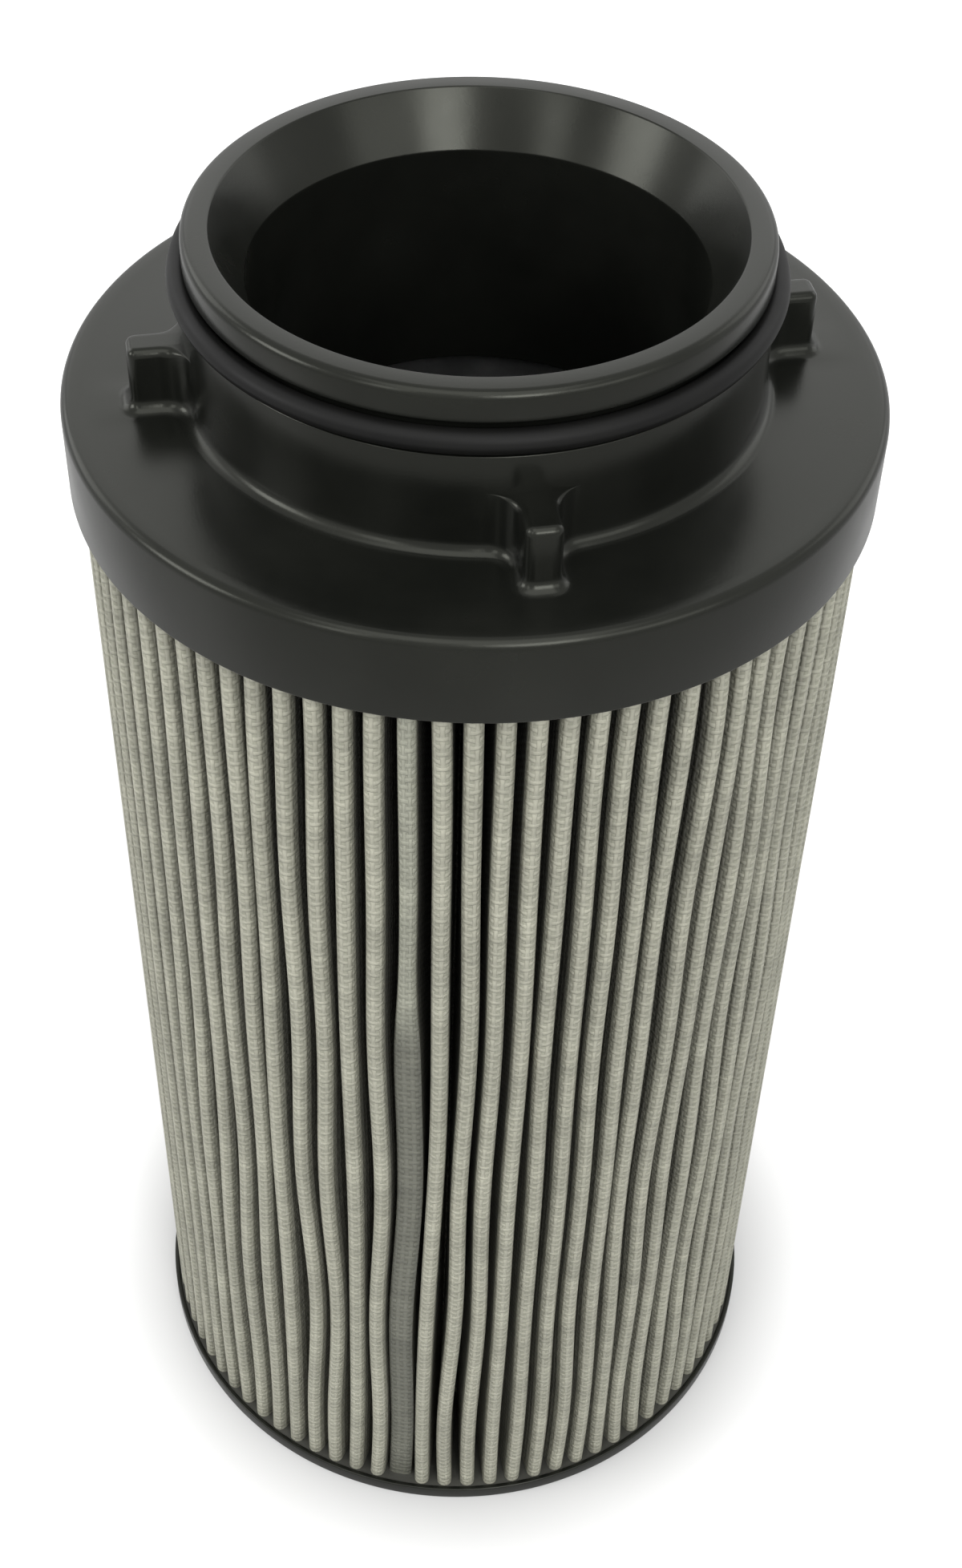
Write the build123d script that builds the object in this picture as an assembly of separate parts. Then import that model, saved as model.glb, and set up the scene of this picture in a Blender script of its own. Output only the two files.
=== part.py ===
from build123d import *
import math
import os

# A pleated hydraulic filter element that stands on its closed bottom cap. Its axis is +Z and the
# origin is the centre of the base. All sizes are in millimetres. The neck and flange are at the top.

# ---- The pleated pack -------------------------------------------------------------------------
cap_face_height = 223.0     # from the base to the top face of the flange
pack_radius = 58.4          # to the outside of the crests
pleat_depth = 21.8          # from the outside of a crest to the inside of a valley
outer_mesh_ply = 0.30       # thickness of each ply, from the outside in
outer_fleece_ply = 0.15
medium_ply = 0.35
inner_fleece_ply = 0.15
inner_mesh_ply = 0.25
fold_radius = 0.20          # tightest radius on the inside of a fold
valley_room = 0.14          # least room between two valleys, side by side
crest_steps = 4             # straight steps round a crest
valley_steps = 2            # straight steps round a valley

# ---- The seam that closes the pack ------------------------------------------------------------
seam_angle = -99.0          # degrees about +Z, from +X
seam_recess = 1.6           # how far the cut ends stay below the crests
seam_bead_width = 1.2       # adhesive between the two ends, at its widest

# ---- The centre tube --------------------------------------------------------------------------
tube_pack_clearance = 0.20  # between the valleys and the tube
tube_wall = 0.90
tube_hole_radius = 4.0
tube_hole_pitch = 16.0      # round the tube, and from row to row
tube_end_land = 11.0        # plain tube from each end to the first row's centres

# ---- The top cap ------------------------------------------------------------------------------
skirt_clearance = 0.20      # between the crests and the skirt
skirt_wall = 1.40
skirt_height = 14.0         # from the flange's top face down
flange_thickness = 3.20
flange_edge_radius = 1.50
sleeve_clearance = 0.30     # between the sleeve and the tube
sleeve_wall = 2.45
sleeve_depth = 20.0         # from the flange's top face down
neck_radius = 41.8
neck_height = 25.0          # from the flange's top face up
neck_foot_radius = 2.0      # fillet round the foot of the neck and its lugs
lip_radius = 41.25          # the land above the seal groove
lip_edge_radius = 1.30
mouth_radius = 37.4         # where the top land meets the flared mouth
mouth_depth = 8.0           # from the top land down to the throat
groove_centre_height = 18.1  # from the flange's top face up
groove_depth = 1.8          # in from the neck
ring_cord = 3.53            # thickness of the seal ring
ring_side_room = 1.25       # how much wider the groove is than the ring

# ---- The lugs ---------------------------------------------------------------------------------
lug_count = 4
lug_angle = -79.0           # degrees about +Z of the first lug
lug_reach = 49.9            # from the axis to a lug's outer face
lug_width = 5.2
lug_height = 9.8
lug_flare_radius = 4.5      # where a lug's side runs into the neck
lug_corner_radius = 1.4     # its outer corners
lug_top_radius = 1.2

# ---- Adhesive and the bottom cap --------------------------------------------------------------
top_potting_depth = 3.0
bottom_potting_depth = 1.2
base_thickness = 1.4
base_rim_wall = 0.9
base_rim_height = 3.0       # from the base up
base_edge_radius = 0.4
base_hub_height = 6.0       # the ring that centres the tube, from the base up
base_hub_wall = 2.0

# ---- Sizes that follow ------------------------------------------------------------------------
ply_stack = outer_mesh_ply + outer_fleece_ply + medium_ply + inner_fleece_ply + inner_mesh_ply
fold_outside = fold_radius + ply_stack
fold_middle = fold_radius + ply_stack / 2
crest_centre_radius = pack_radius - fold_outside
valley_centre_radius = pack_radius - pleat_depth + fold_outside
pleat_count = math.floor(2 * math.pi * valley_centre_radius / (2 * fold_outside + valley_room))
pleat_pitch = 360 / pleat_count

tube_outer = pack_radius - pleat_depth - tube_pack_clearance
tube_inner = tube_outer - tube_wall
sleeve_outer = tube_inner - sleeve_clearance
throat_radius = sleeve_outer - sleeve_wall
channel_radius = pack_radius + skirt_clearance
flange_radius = channel_radius + skirt_wall
base_radius = channel_radius + base_rim_wall
groove_floor = neck_radius - groove_depth
groove_width = ring_cord + ring_side_room

flange_under = cap_face_height - flange_thickness
pack_top = flange_under - top_potting_depth
pack_bottom = base_thickness + bottom_potting_depth
pack_height = pack_top - pack_bottom


def polar(radius, degrees):
    """A point in the XY plane."""
    return Vector(radius * math.cos(math.radians(degrees)), radius * math.sin(math.radians(degrees)))


# ---- The pleated plies ------------------------------------------------------------------------
def leg_direction(crest, crest_round, valley, side):
    """Direction in degrees that the outside of a pleat's leg faces.

    The leg is the straight line that touches the crest's round and the valley's round, crossing
    between them. side is 1 for the leg after the crest and -1 for the leg before it.
    """
    span = valley - crest
    heading = math.degrees(math.atan2(span.Y, span.X))
    lean = math.degrees(math.acos((crest_round + fold_middle) / span.length))
    return heading - side * lean


def fold_angle(start, end, step, steps):
    """Direction of one step round a fold, going the short way from start to end."""
    sweep = (end - start + 180) % 360 - 180
    return start + sweep * step / steps


def seam_ends():
    """Middle of the stack at the pack's two cut ends, after and before the seam."""
    aside = (seam_bead_width + ply_stack) / 2
    radius = math.hypot(pack_radius - seam_recess, aside)
    lean = math.degrees(math.asin(aside / radius))
    return polar(radius, seam_angle + lean), polar(radius, seam_angle - lean)


def pack_line(offset):
    """The pleats' outline from one cut end to the other, offset outwards from the stack's middle.

    Every offset uses the same fold centres and directions, so two lines are parallel throughout.
    """
    end_after, end_before = seam_ends()
    crests = [polar(crest_centre_radius, seam_angle + k * pleat_pitch) for k in range(pleat_count)]
    valleys = [polar(valley_centre_radius, seam_angle + (k + 0.5) * pleat_pitch)
               for k in range(pleat_count)]
    facing = leg_direction(end_after, 0, valleys[0], 1)
    points = [end_after + polar(offset, facing)]
    for k in range(1, pleat_count):
        before = leg_direction(crests[k], fold_middle, valleys[k - 1], -1)
        after = leg_direction(crests[k], fold_middle, valleys[k], 1)
        points += valley_points(valleys[k - 1], facing, before, offset)
        middle = seam_angle + k * pleat_pitch
        half_turn = (after - middle + 180) % 360 - 180
        for step in range(crest_steps + 1):
            turn = middle + half_turn * (2 * step / crest_steps - 1)
            points.append(crests[k] + polar(fold_middle + offset, turn))
        facing = after
    before = leg_direction(end_before, 0, valleys[-1], -1)
    points += valley_points(valleys[-1], facing, before, offset)
    points.append(end_before + polar(offset, before))
    return points


def valley_points(centre, start, end, offset):
    """Points round one valley, between the legs that face start and end."""
    return [centre - polar(fold_middle - offset, fold_angle(start, end, step, valley_steps))
            for step in range(valley_steps + 1)]


def pleated_ply(outer, inner):
    """One pleated ply, between two offsets from the middle of the stack."""
    outline = pack_line(outer) + pack_line(inner)[::-1]
    section = Polygon(*[(p.X, p.Y) for p in outline], align=None)
    return Pos(0, 0, pack_bottom) * extrude(section, pack_height)


def pleated_plies():
    """The five plies by name, from the outside in."""
    plies = {
        "outer_support_mesh": outer_mesh_ply,
        "outer_fleece": outer_fleece_ply,
        "filter_medium": medium_ply,
        "inner_fleece": inner_fleece_ply,
        "inner_support_mesh": inner_mesh_ply,
    }
    solids = {}
    outer = ply_stack / 2
    for name, thickness in plies.items():
        solids[name] = pleated_ply(outer, outer - thickness)
        outer -= thickness
    return solids


def seam_bead():
    """Adhesive wedge between the pack's two cut ends, from their edges down to the valleys."""
    inside = pack_line(-ply_stack / 2)
    corners = [inside[0], inside[1], inside[-2], inside[-1]]
    section = Polygon(*[(p.X, p.Y) for p in corners], align=None)
    return Pos(0, 0, pack_bottom) * extrude(section, pack_height)


# ---- The centre tube --------------------------------------------------------------------------
def centre_tube():
    """Steel tube with staggered rows of round holes."""
    tube = Pos(0, 0, pack_bottom) * extrude(Circle(tube_outer) - Circle(tube_inner), pack_height)
    columns = round(2 * math.pi * tube_outer / tube_hole_pitch)
    rows = math.floor((pack_height - 2 * tube_end_land) / tube_hole_pitch) + 1
    first = pack_bottom + (pack_height - (rows - 1) * tube_hole_pitch) / 2
    drills = []
    for row in range(rows):
        height = first + row * tube_hole_pitch
        for k in range(columns):
            turn = (k + 0.5 * (row % 2)) * 360 / columns
            place = Pos(0, 0, height) * Rot(0, 0, turn) * Pos((tube_outer + tube_inner) / 2, 0)
            drills.append(place * Rot(0, 90, 0) * Cylinder(tube_hole_radius, 3 * tube_wall))
    return tube - drills


# ---- The top cap ------------------------------------------------------------------------------
def cap_section():
    """Half section of the cap, turned about the axis. The lip and the flange have round edges."""
    face = cap_face_height
    lip_top = face + neck_height
    groove_top = face + groove_centre_height + groove_width / 2
    groove_bottom = face + groove_centre_height - groove_width / 2
    outline = Polyline(
        (throat_radius, face - sleeve_depth),
        (throat_radius, lip_top - mouth_depth),
        (mouth_radius, lip_top),
        (lip_radius, lip_top),
        (lip_radius, groove_top),
        (groove_floor, groove_top),
        (groove_floor, groove_bottom),
        (neck_radius, groove_bottom),
        (neck_radius, face),
        (flange_radius, face),
        (flange_radius, face - skirt_height),
        (channel_radius, face - skirt_height),
        (channel_radius, flange_under),
        (sleeve_outer, flange_under),
        (sleeve_outer, face - sleeve_depth),
        close=True,
    )
    section = make_face(outline)
    lip_edge = section.vertices().filter_by(
        lambda v: abs(v.X - lip_radius) < 1e-6 and abs(v.Y - lip_top) < 1e-6)
    section = fillet(lip_edge, lip_edge_radius)
    flange_edge = section.vertices().filter_by(
        lambda v: abs(v.X - flange_radius) < 1e-6 and abs(v.Y - face) < 1e-6)
    return fillet(flange_edge, flange_edge_radius)


def lug_body():
    """The lugs with flared roots and round tops, as one ring-shaped solid inside the neck's wall."""
    plan = Circle(neck_radius)
    for k in range(lug_count):
        turn = lug_angle + k * 360 / lug_count
        plan += Rot(0, 0, turn) * Pos(lug_reach / 2, 0) * Rectangle(lug_reach, lug_width)
    roots = plan.vertices().filter_by(lambda v: math.hypot(v.X, v.Y) < lug_reach - 1e-6)
    plan = fillet(roots, lug_flare_radius)
    tips = plan.vertices().filter_by(lambda v: math.hypot(v.X, v.Y) > lug_reach - 1e-6)
    plan = fillet(tips, lug_corner_radius)
    body = extrude(plan, lug_height)
    body = fillet(body.faces().sort_by(Axis.Z)[-1].edges(), lug_top_radius)
    body -= extrude(Circle((throat_radius + neck_radius) / 2), lug_height)
    return Pos(0, 0, cap_face_height) * body


def lies_on_foot(edge):
    """Whether an edge lies on the flange's face, where the neck or a lug stands on it."""
    box = edge.bounding_box()
    level = abs(box.min.Z - cap_face_height) < 1e-5 and abs(box.max.Z - cap_face_height) < 1e-5
    return level and all(math.hypot(v.X, v.Y) < (flange_radius + lug_reach) / 2 for v in edge.vertices())


def top_end_cap():
    """Flange, skirt, neck, mouth, sleeve and lugs in one moulding."""
    body = revolve(Plane.XZ * cap_section(), Axis.Z) + lug_body()
    return fillet(body.edges().filter_by(lies_on_foot), neck_foot_radius)


def neck_o_ring():
    """Seal ring, seated on the floor of the neck's groove."""
    height = cap_face_height + groove_centre_height
    return Pos(0, 0, height) * Torus(groove_floor + ring_cord / 2, ring_cord / 2)


# ---- Adhesive and the bottom cap --------------------------------------------------------------
def ring(outer, inner, bottom, height):
    """A plain ring about the axis."""
    return Pos(0, 0, bottom) * extrude(Circle(outer) - Circle(inner), height)


def bottom_end_cap():
    """Closed cap with a low rim and a hub that centres the tube."""
    plate = extrude(Circle(base_radius), base_thickness)
    plate += ring(base_radius, channel_radius, 0, base_rim_height)
    plate += ring(sleeve_outer, sleeve_outer - base_hub_wall, 0, base_hub_height)
    outer_edges = plate.edges().filter_by(GeomType.CIRCLE).group_by(Axis.Z)[0]
    return fillet(outer_edges, base_edge_radius)


def build_pieces():
    """Every piece by its node name."""
    pieces = {
        "top_end_cap": top_end_cap(),
        "neck_o_ring": neck_o_ring(),
        "top_potting": ring(channel_radius, sleeve_outer, pack_top, top_potting_depth),
        "centre_tube": centre_tube(),
        "seam_bead": seam_bead(),
        "bottom_potting": ring(channel_radius, sleeve_outer, base_thickness, bottom_potting_depth),
        "bottom_end_cap": bottom_end_cap(),
    }
    pieces.update(pleated_plies())
    return pieces


os.makedirs("parts", exist_ok=True)
for node, shape in build_pieces().items():
    export_step(shape, f"parts/{node}.step")
    print(node, round(shape.volume, 1), "mm3")
print("pleats", pleat_count)
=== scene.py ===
"""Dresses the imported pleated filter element: its finishes, its finer meshes, the floor and the light.

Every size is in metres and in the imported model's own frame: the axis is +Z and the base stands at z = 0.
"""

import logging
import math
from dataclasses import dataclass, field
from enum import Enum

import bmesh
import bpy
import numpy as np
from mathutils import Matrix, Vector


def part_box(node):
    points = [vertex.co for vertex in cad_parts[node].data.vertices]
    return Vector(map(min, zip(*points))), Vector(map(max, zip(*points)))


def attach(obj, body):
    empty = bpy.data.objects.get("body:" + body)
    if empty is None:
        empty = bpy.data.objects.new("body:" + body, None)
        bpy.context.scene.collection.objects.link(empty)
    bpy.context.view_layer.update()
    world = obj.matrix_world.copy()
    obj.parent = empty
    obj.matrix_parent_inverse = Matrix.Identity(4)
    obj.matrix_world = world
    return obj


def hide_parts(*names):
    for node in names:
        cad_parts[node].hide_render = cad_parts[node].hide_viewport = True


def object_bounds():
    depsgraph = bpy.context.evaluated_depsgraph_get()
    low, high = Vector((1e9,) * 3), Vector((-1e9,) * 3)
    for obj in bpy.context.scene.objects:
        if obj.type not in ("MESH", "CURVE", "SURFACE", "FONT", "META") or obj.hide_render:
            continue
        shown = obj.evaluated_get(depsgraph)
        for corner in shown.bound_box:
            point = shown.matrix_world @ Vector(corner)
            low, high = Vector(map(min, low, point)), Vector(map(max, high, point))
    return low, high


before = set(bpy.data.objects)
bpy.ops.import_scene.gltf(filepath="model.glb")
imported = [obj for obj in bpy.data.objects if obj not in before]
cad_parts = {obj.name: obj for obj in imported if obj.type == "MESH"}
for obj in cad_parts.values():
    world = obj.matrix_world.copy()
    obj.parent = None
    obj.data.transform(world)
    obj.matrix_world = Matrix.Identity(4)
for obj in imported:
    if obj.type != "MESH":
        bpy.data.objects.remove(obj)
cad_low, cad_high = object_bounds()

MM = 0.001
TURN = 2 * math.pi
BODY = "root"
MOULDED_CREASE = math.radians(40)
FOLDED_CREASE = math.radians(50)
ROUND_CREASE = math.radians(60)
WELD = 1e-7
SLIVER = 1e-8

Colour = tuple[float, float, float]
Material, Node, NodeTree = bpy.types.Material, bpy.types.Node, bpy.types.NodeTree
Piece, Socket = bpy.types.Object, bpy.types.NodeSocket

log = logging.getLogger("filter_element")


class Slot(Enum):
    """The record's material slots."""

    PLASTIC = "black_polyamide"
    RUBBER = "nitrile_rubber"
    MESH = "coated_wire_mesh"
    FLEECE = "spun_fleece"
    PAPER = "glass_fibre_paper"
    STEEL = "tinned_steel"
    ADHESIVE = "grey_adhesive"


# ---- Meshes ----
def wrapped(angle: np.ndarray) -> np.ndarray:
    """Angle in radians brought between minus and plus half a turn."""
    return (angle + math.pi) % TURN - math.pi


def heading(angle: np.ndarray | float) -> np.ndarray:
    """Unit vector at an angle, as a complex number x + iy."""
    return np.exp(1j * np.asarray(angle))


def rounded(corners: list[tuple[float, float, float]], steps: int) -> np.ndarray:
    """Closed outline through corners given as (x, y, radius), each rounded by an arc.

    An arc of radius r touches both sides of its corner at r / tan(half the corner's angle) from it,
    and its centre is r / sin(half the angle) along the line that halves the corner.

    Args:
        corners: Corner points with the radius of each one's arc, zero for a sharp corner.
        steps: Straight steps in each arc.

    Returns:
        Points as complex numbers x + iy, in the corners' order.
    """
    spots = np.array([complex(x, y) for x, y, _ in corners])
    radii = np.array([radius for _, _, radius in corners])
    back = np.roll(spots, 1) - spots
    ahead = np.roll(spots, -1) - spots
    back /= np.abs(back)
    ahead /= np.abs(ahead)
    middle = back + ahead
    middle /= np.abs(middle)
    half = np.abs(wrapped(np.angle(ahead) - np.angle(back))) / 2
    centre = spots + middle * radii / np.sin(half)
    start = spots + back * radii / np.tan(half) - centre
    sweep = wrapped(np.angle(spots + ahead * radii / np.tan(half) - centre) - np.angle(start))
    sharp = radii == 0
    sweep[sharp] = 0
    share = np.linspace(0, 1, steps + 1)
    arcs = centre[:, None] + start[:, None] * heading(sweep[:, None] * share)
    return np.concatenate([arc[:1] if plain else arc for arc, plain in zip(arcs, sharp)])


def grid_points(plan: np.ndarray, height: np.ndarray | float) -> np.ndarray:
    """Points of a grid from its plan x + iy and its height.

    Args:
        plan: Complex array of rows and columns.
        height: Height of each point, or of each row as a column array.

    Returns:
        Array of rows, columns and x, y, z.
    """
    level = np.broadcast_to(height, plan.shape)
    return np.stack([plan.real, plan.imag, level], axis=-1)


def grid_faces(rows: int, columns: int, wrap_rows: bool, wrap_columns: bool) -> np.ndarray:
    """Corner numbers of a grid's four-sided faces.

    Args:
        rows: Number of rows of points.
        columns: Number of columns of points.
        wrap_rows: Whether the last row joins the first.
        wrap_columns: Whether the last column joins the first.

    Returns:
        Array of faces and their four corners.
    """
    number = np.arange(rows * columns).reshape(rows, columns)
    row = np.arange(rows if wrap_rows else rows - 1)[:, None]
    column = np.arange(columns if wrap_columns else columns - 1)[None, :]
    above, beside = (row + 1) % rows, (column + 1) % columns
    corners = [number[row, column], number[row, beside], number[above, beside], number[above, column]]
    return np.stack(corners, axis=-1).reshape(-1, 4)


def mesh_object(
    name: str, points: np.ndarray, faces: np.ndarray, crease: float, along: np.ndarray | None = None
) -> Piece:
    """Mesh object from points and four-sided faces, closed, with its faces turned outwards.

    Args:
        name: The piece's name.
        points: Array of points by x, y, z.
        faces: Array of faces by corner number.
        crease: Angle in radians past which an edge stays sharp.
        along: Pattern coordinates u, v of each point in metres, for materials that follow the surface.

    Returns:
        The new object, linked to the scene, at the origin.
    """
    flat = faces.reshape(-1).astype(np.int32)
    mesh = bpy.data.meshes.new(name)
    mesh.vertices.add(len(points))
    mesh.vertices.foreach_set("co", points.reshape(-1).astype(np.float32))
    mesh.loops.add(len(flat))
    mesh.loops.foreach_set("vertex_index", flat)
    mesh.polygons.add(len(faces))
    mesh.polygons.foreach_set("loop_start", np.arange(0, len(flat), 4, dtype=np.int32))
    if along is not None:
        layer = mesh.uv_layers.new(name="along")
        layer.uv.foreach_set("vector", along[flat].reshape(-1).astype(np.float32))
    mesh.update(calc_edges=True)
    mesh.validate()
    made = bmesh.new()
    made.from_mesh(mesh)
    bmesh.ops.remove_doubles(made, verts=made.verts, dist=WELD)
    bmesh.ops.dissolve_degenerate(made, edges=made.edges, dist=SLIVER)
    bmesh.ops.recalc_face_normals(made, faces=made.faces)
    made.to_mesh(mesh)
    made.free()
    mesh.polygons.foreach_set("use_smooth", np.ones(len(mesh.polygons), dtype=bool))
    mesh.set_sharp_from_angle(angle=crease)
    mesh.update()
    piece = bpy.data.objects.new(name, mesh)
    bpy.context.scene.collection.objects.link(piece)
    return piece


def ring_object(name: str, rows: np.ndarray, crease: float) -> Piece:
    """Mesh object from a grid of points that joins up with itself in both directions."""
    return mesh_object(name, rows.reshape(-1, 3), grid_faces(*rows.shape[:2], True, True), crease)


def lathe_points(outline: np.ndarray, columns: int) -> np.ndarray:
    """Points of an outline (radius + i height) carried round the axis, one row for each of its points."""
    turn = np.arange(columns) * TURN / columns
    return grid_points(outline.real[:, None] * heading(turn), outline.imag[:, None])


def fit_on_frame(piece: Piece, slot: Slot, material: Material, *nodes: str) -> None:
    """Gives a piece its finish, lets it ride on the frame and stand for its CAD nodes.

    Args:
        piece: The finished piece.
        slot: The record's slot that its finish stands for. Not used.
        material: The material that it wears.
        nodes: Names of the CAD nodes that it stands for.
    """
    piece.data.materials.clear()
    piece.data.materials.append(material)
    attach(piece, BODY)
    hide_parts(*nodes)
    log.info("%s: %d faces, stands for %s", piece.name, len(piece.data.polygons), ", ".join(nodes))


# ---- Shader graphs ----
class Graph:
    """Adds nodes to one shader tree and links them."""

    def __init__(self, tree: NodeTree) -> None:
        """Starts on a tree, which may hold nodes already."""
        self.tree = tree

    def node(self, kind: str, **inputs: object) -> Node:
        """Adds a node and fills its named inputs.

        Args:
            kind: Blender's name of the node's type.
            inputs: Sockets or values by input name, with _ for a space.

        Returns:
            The new node.
        """
        made = self.tree.nodes.new(kind)
        self.feed(made, **inputs)
        return made

    def feed(self, made: Node, **inputs: object) -> None:
        """Fills a node's inputs by name, with _ for a space."""
        for name, value in inputs.items():
            self.fill(made.inputs[name.replace("_", " ")], value)

    def fill(self, target: Socket, value: object) -> None:
        """Links a socket to an input, or sets the input to a value.

        Args:
            target: The input.
            value: A socket to link from, or a plain value.
        """
        if isinstance(value, Socket):
            self.tree.links.new(value, target)
        else:
            target.default_value = value

    def maths(self, operation: str, *values: object) -> Socket:
        """Adds a Math node.

        Args:
            operation: Blender's name of the operation.
            values: Up to three sockets or numbers.

        Returns:
            The result's socket.
        """
        made = self.tree.nodes.new("ShaderNodeMath")
        made.operation = operation
        for target, value in zip(made.inputs, values):
            self.fill(target, value)
        return made.outputs[0]

    def noise(self, place: object, scale: float, detail: float, rough: float = 0.5) -> Socket:
        """Adds a noise pattern and returns its value, from 0 to 1."""
        made = self.node("ShaderNodeTexNoise", Vector=place, Scale=scale, Detail=detail, Roughness=rough)
        return made.outputs["Fac"]

    def ranged(self, value: object, low: float, high: float, first: object, last: float) -> Socket:
        """Maps a value from low..high onto first..last and holds it at both ends.

        Args:
            value: The value to map.
            low: Value that becomes first.
            high: Value that becomes last.
            first: Result at low, a number or a socket.
            last: Result at high.

        Returns:
            The result's socket.
        """
        ends = {"From_Min": low, "From_Max": high, "To_Min": first, "To_Max": last}
        return self.node("ShaderNodeMapRange", Value=value, **ends).outputs["Result"]

    def blended(self, share: object, first: object, second: object) -> Socket:
        """Mixes two colours.

        Args:
            share: How much of the second colour, from 0 to 1.
            first: The first colour.
            second: The second colour.

        Returns:
            The colour's socket.
        """
        made = self.tree.nodes.new("ShaderNodeMix")
        made.data_type = "RGBA"
        for place, value in ((0, share), (6, first), (7, second)):
            self.fill(made.inputs[place], value)
        return made.outputs[2]

    def vector(self, operation: str, value: object) -> Node:
        """Adds a Vector Math node.

        Args:
            operation: Blender's name of the operation.
            value: The first vector.

        Returns:
            The node.
        """
        made = self.node("ShaderNodeVectorMath", Vector=value)
        made.operation = operation
        return made

    def from_axis(self, place: object) -> Socket:
        """Distance of a place from the element's axis.

        Args:
            place: The place.

        Returns:
            The length of its x and y.
        """
        flat = self.vector("MULTIPLY", place)
        flat.inputs[1].default_value = (1.0, 1.0, 0.0)
        return self.vector("LENGTH", flat.outputs[0]).outputs["Value"]

    def stretched(self, place: object, scale: float) -> Socket:
        """Place whose z is multiplied: a pattern on it is squat above 1 and drawn out below.

        Args:
            place: The place.
            scale: What z is multiplied by.

        Returns:
            The place to read the pattern at.
        """
        made = self.node("ShaderNodeMapping", Vector=place)
        made.inputs["Scale"].default_value = (1.0, 1.0, scale)
        return made.outputs[0]


def new_group(name: str, inputs: dict[str, str], outputs: dict[str, str]) -> tuple[Graph, dict, dict]:
    """Starts a shader node group with named inputs and outputs.

    Args:
        name: The group's name.
        inputs: Socket types by input name.
        outputs: Socket types by output name.

    Returns:
        The group's graph, its inputs as sockets inside it, and its output sockets to link to.
    """
    tree = bpy.data.node_groups.new(name, "ShaderNodeTree")
    for label, kind in inputs.items():
        tree.interface.new_socket(name=label, in_out="INPUT", socket_type=kind)
    for label, kind in outputs.items():
        tree.interface.new_socket(name=label, in_out="OUTPUT", socket_type=kind)
    entry = tree.nodes.new("NodeGroupInput")
    leave = tree.nodes.new("NodeGroupOutput")
    return Graph(tree), {k: entry.outputs[k] for k in inputs}, {k: leave.inputs[k] for k in outputs}


def fine_grain_group() -> NodeTree:
    """Fine grain of a moulded or cast surface: a height for Bump, and a slow change of tone.

    The height is a fine noise plus a third as much of one four times coarser. The tone is a noise
    some forty times coarser than the grain.

    Returns:
        The node group.
    """
    graph, given, wanted = new_group(
        "fine_grain",
        {"Place": "NodeSocketVector", "Scale": "NodeSocketFloat"},
        {"Height": "NodeSocketFloat", "Tone": "NodeSocketFloat"},
    )
    fine = graph.noise(given["Place"], given["Scale"], 4.0)
    coarse = graph.noise(given["Place"], graph.maths("DIVIDE", given["Scale"], 4.0), 2.0)
    slow = graph.noise(given["Place"], graph.maths("DIVIDE", given["Scale"], 40.0), 3.0, 0.6)
    graph.fill(wanted["Height"], graph.maths("MULTIPLY_ADD", coarse, 0.35, fine))
    graph.fill(wanted["Tone"], graph.ranged(slow, 0.3, 0.7, 0.0, 1.0))
    return graph.tree


def woven_wire_group() -> NodeTree:
    """Plain weave of round wires over the piece's own u, v in metres.

    A wire's section is the root of 1 minus the square of the distance from its line over its
    radius. Along it the wire rises and falls as a cosine from 0.3 to 1, over one crossing wire and
    under the next. The weave's height is the higher of the two sets, and its mask is where either lies.

    Returns:
        The node group.
    """
    graph, given, wanted = new_group(
        "woven_wire",
        {"Along": "NodeSocketVector", "Pitch": "NodeSocketFloat", "Wire": "NodeSocketFloat"},
        {"Height": "NodeSocketFloat", "Mask": "NodeSocketFloat"},
    )
    parts = graph.node("ShaderNodeSeparateXYZ", Vector=given["Along"])
    share = graph.maths("DIVIDE", graph.maths("MULTIPLY", given["Wire"], 0.5), given["Pitch"])
    steps = [graph.maths("DIVIDE", parts.outputs[axis], given["Pitch"]) for axis in ("X", "Y")]
    lines = [graph.maths("ROUND", step) for step in steps]
    heights, sections = [], []
    for across, along, sign in ((0, 1, 1.0), (1, 0, -1.0)):
        aside = graph.maths("DIVIDE", graph.maths("SUBTRACT", steps[across], lines[across]), share)
        inside = graph.maths("SUBTRACT", 1.0, graph.maths("MULTIPLY", aside, aside))
        section = graph.maths("SQRT", graph.maths("MAXIMUM", inside, 0.0))
        travel = graph.maths("MULTIPLY", graph.maths("ADD", steps[along], lines[across]), math.pi)
        wave = graph.maths("MULTIPLY_ADD", graph.maths("COSINE", travel), 0.35 * sign, 0.65)
        heights.append(graph.maths("MULTIPLY", section, wave))
        sections.append(section)
    graph.fill(wanted["Height"], graph.maths("MAXIMUM", *heights))
    graph.fill(wanted["Mask"], graph.ranged(graph.maths("MAXIMUM", *sections), 0.0, 0.35, 0.0, 1.0))
    return graph.tree


GRAIN = fine_grain_group()
WOVEN = woven_wire_group()


def placed_group(graph: Graph, group: NodeTree, **inputs: object) -> Node:
    """Puts a node group into a material's graph.

    Args:
        graph: The material's graph.
        group: The group.
        inputs: Sockets or values by input name.

    Returns:
        The group's node.
    """
    made = graph.tree.nodes.new("ShaderNodeGroup")
    made.node_tree = group
    graph.feed(made, **inputs)
    return made


def started_material(name: str) -> tuple[Material, Graph, Node, Socket]:
    """Starts a material with one Principled shader.

    Args:
        name: The material's name.

    Returns:
        The material, its graph, its shader, and the Object coordinates.
    """
    material = bpy.data.materials.new(name)
    material.use_nodes = True
    material.node_tree.nodes.clear()
    graph = Graph(material.node_tree)
    shader = graph.node("ShaderNodeBsdfPrincipled")
    graph.node("ShaderNodeOutputMaterial", Surface=shader.outputs[0])
    place = graph.node("ShaderNodeTexCoord").outputs["Object"]
    return material, graph, shader, place


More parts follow.
